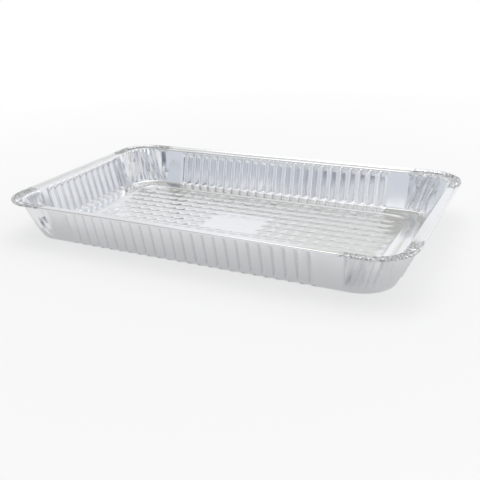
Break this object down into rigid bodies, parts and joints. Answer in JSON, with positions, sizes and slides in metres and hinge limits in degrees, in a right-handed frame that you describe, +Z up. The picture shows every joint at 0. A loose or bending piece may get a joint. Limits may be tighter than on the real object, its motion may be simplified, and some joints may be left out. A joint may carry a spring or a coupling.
{
  "type": "foil roasting pan",
  "caption": "Rectangular aluminium foil roasting pan with fluted sides, crushed corner pleats, a flat rim with a curled edge and a waffle-pattern floor.",
  "frame": {"origin": "under the middle of the pan, on the plane that its resting ledge stands on", "axes": "+X along the length of the pan, +Y across it, +Z up out of its open top"},
  "size_m": [0.527, 0.324, 0.053],
  "materials": {
    "foil": "bright rolled foil, slightly rippled"
  },
  "bodies": {
    "root": {"pan": "foil"}
  },
  "joints": []
}
